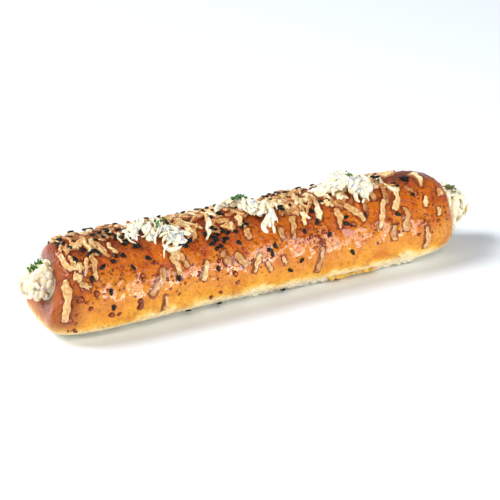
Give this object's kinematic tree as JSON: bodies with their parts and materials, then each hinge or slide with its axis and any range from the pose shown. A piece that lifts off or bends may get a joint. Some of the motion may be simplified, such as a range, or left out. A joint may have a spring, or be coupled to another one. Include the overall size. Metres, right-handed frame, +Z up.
{
  "type": "stuffed pretzel stick",
  "caption": "Long baked bread stick with a tunnel of pale grated filling that stands out at both ends, topped with baked cheese shreds, black sesame and fresh garnish.",
  "frame": {"origin": "centre of the flat underside, on the surface that the stick lies on", "axes": "+Z up, X along the stick, -Y towards the front that carries most of the toppings"},
  "size_m": [0.2559, 0.0534, 0.0529],
  "materials": {
    "crust": "glossy glazed baked crust, deep red-brown on top, golden at the sides, pale cream at the base",
    "fresh_filling": "moist off-white grated shreds, slightly translucent",
    "baked_cheese": "melted and browned cheese, waxy, translucent beige with burnt edges",
    "black_sesame": "black seed coat, satin",
    "chive": "chopped fresh herb, satin"
  },
  "bodies": {
    "root": {"baked_cheese_run_out": "baked_cheese", "baked_cheese_shred_01": "baked_cheese", "baked_cheese_shred_02": "baked_cheese", "baked_cheese_shred_03": "baked_cheese", "baked_cheese_shred_04": "baked_cheese", "baked_cheese_shred_05": "baked_cheese", "baked_cheese_shred_06": "baked_cheese", "baked_cheese_shred_07": "baked_cheese", "baked_cheese_shred_08": "baked_cheese", "baked_cheese_shred_09": "baked_cheese", "baked_cheese_shred_10": "baked_cheese", "baked_cheese_shred_11": "baked_cheese", "baked_cheese_shred_12": "baked_cheese", "baked_cheese_shred_13": "baked_cheese", "baked_cheese_shred_14": "baked_cheese", "baked_cheese_shred_15": "baked_cheese", "baked_cheese_shred_16": "baked_cheese", "baked_cheese_shred_17": "baked_cheese", "baked_cheese_shred_18": "baked_cheese", "baked_cheese_shred_19": "baked_cheese", "baked_cheese_shred_20": "baked_cheese", "baked_cheese_shred_21": "baked_cheese", "baked_cheese_shred_22": "baked_cheese", "baked_cheese_shred_23": "baked_cheese", "baked_cheese_shred_24": "baked_cheese", "baked_cheese_shred_25": "baked_cheese", "baked_cheese_shred_26": "baked_cheese", "baked_cheese_shred_27": "baked_cheese", "baked_cheese_shred_28": "baked_cheese", "baked_cheese_shred_29": "baked_cheese", "baked_cheese_shred_30": "baked_cheese", "black_sesame_01": "black_sesame", "black_sesame_02": "black_sesame", "black_sesame_03": "black_sesame", "black_sesame_04": "black_sesame", "black_sesame_05": "black_sesame", "black_sesame_06": "black_sesame", "black_sesame_07": "black_sesame", "black_sesame_08": "black_sesame", "black_sesame_09": "black_sesame", "black_sesame_10": "black_sesame", "black_sesame_11": "black_sesame", "black_sesame_12": "black_sesame", "black_sesame_13": "black_sesame", "black_sesame_14": "black_sesame", "black_sesame_15": "black_sesame", "black_sesame_16": "black_sesame", "black_sesame_17": "black_sesame", "black_sesame_18": "black_sesame", "bread": "crust", "chive_fleck_01": "chive", "chive_fleck_02": "chive", "chive_fleck_03": "chive", "chive_fleck_04": "chive", "chive_fleck_05": "chive", "filling": "fresh_filling", "garnish_left": "fresh_filling", "garnish_middle": "fresh_filling", "garnish_right": "fresh_filling"}
  },
  "joints": []
}
